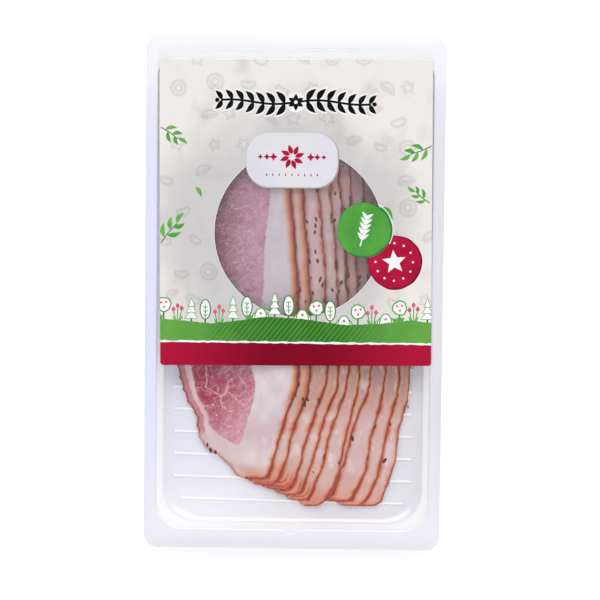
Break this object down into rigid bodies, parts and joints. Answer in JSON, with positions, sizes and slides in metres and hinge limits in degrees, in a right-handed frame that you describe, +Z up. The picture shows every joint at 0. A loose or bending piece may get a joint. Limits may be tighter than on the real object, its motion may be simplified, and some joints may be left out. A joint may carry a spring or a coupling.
{
  "type": "sliced cured ham pack",
  "caption": "Shallow heat-sealed tray of fanned cured ham slices under clear film, with a printed label that has a round window.",
  "frame": {"origin": "on the underside of the tray's floor plane, below the middle of the pack's outline", "axes": "+X across the pack to the rind side, +Y along the pack to the label end, +Z up out of the film"},
  "size_m": [0.132, 0.228, 0.0145],
  "materials": {
    "tray_plastic": "milky white thermoformed sheet",
    "clear_film": "clear glossy film",
    "label_print": "satin print in warm grey, green and crimson",
    "cured_ham": "moist lean and fat with a browned rind"
  },
  "bodies": {
    "root": {"tray": "tray_plastic", "lid_film": "clear_film", "label": "label_print", "label_window": "clear_film", "ham_slice_01": "cured_ham", "ham_slice_02": "cured_ham", "ham_slice_03": "cured_ham", "ham_slice_04": "cured_ham", "ham_slice_05": "cured_ham", "ham_slice_06": "cured_ham", "ham_slice_07": "cured_ham", "ham_slice_08": "cured_ham", "ham_slice_09": "cured_ham", "ham_slice_10": "cured_ham"}
  },
  "joints": []
}
